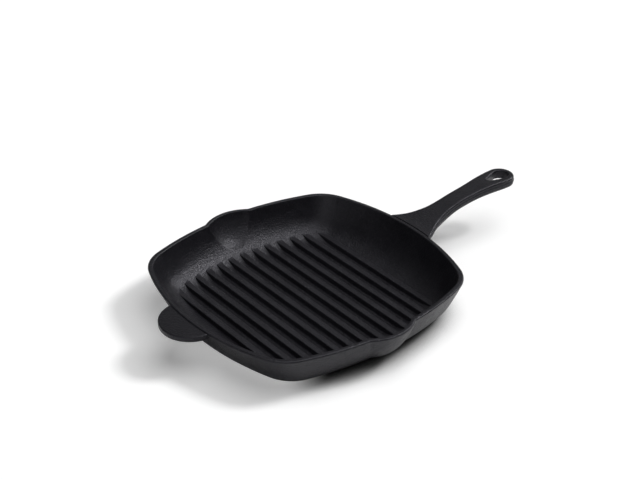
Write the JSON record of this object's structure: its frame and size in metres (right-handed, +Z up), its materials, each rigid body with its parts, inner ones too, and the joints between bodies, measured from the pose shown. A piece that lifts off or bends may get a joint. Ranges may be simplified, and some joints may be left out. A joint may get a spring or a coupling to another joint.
{
  "type": "grill pan",
  "caption": "Square cast iron grill pan with flared walls, a ribbed floor, pouring spouts on its sides, a long curved handle with a hanging eye and a half-round helper handle.",
  "frame": {"origin": "middle of the flat base, on the surface that the pan rests on", "axes": "+X along the long handle, Y along the ribs and from spout to spout, +Z up"},
  "size_m": [0.4182, 0.266, 0.0557],
  "materials": {
    "shell_iron": "matte black, fine cast grain",
    "rib_iron": "matte black, fine cast grain",
    "handle_iron": "matte black, fine cast grain"
  },
  "bodies": {
    "root": {"pan_shell": "shell_iron", "grill_rib_01": "rib_iron", "grill_rib_02": "rib_iron", "grill_rib_03": "rib_iron", "grill_rib_04": "rib_iron", "grill_rib_05": "rib_iron", "grill_rib_06": "rib_iron", "grill_rib_07": "rib_iron", "grill_rib_08": "rib_iron", "grill_rib_09": "rib_iron", "grill_rib_10": "rib_iron", "grill_rib_11": "rib_iron", "grill_rib_12": "rib_iron", "grill_rib_13": "rib_iron", "long_handle": "handle_iron", "helper_handle": "handle_iron"}
  },
  "joints": []
}
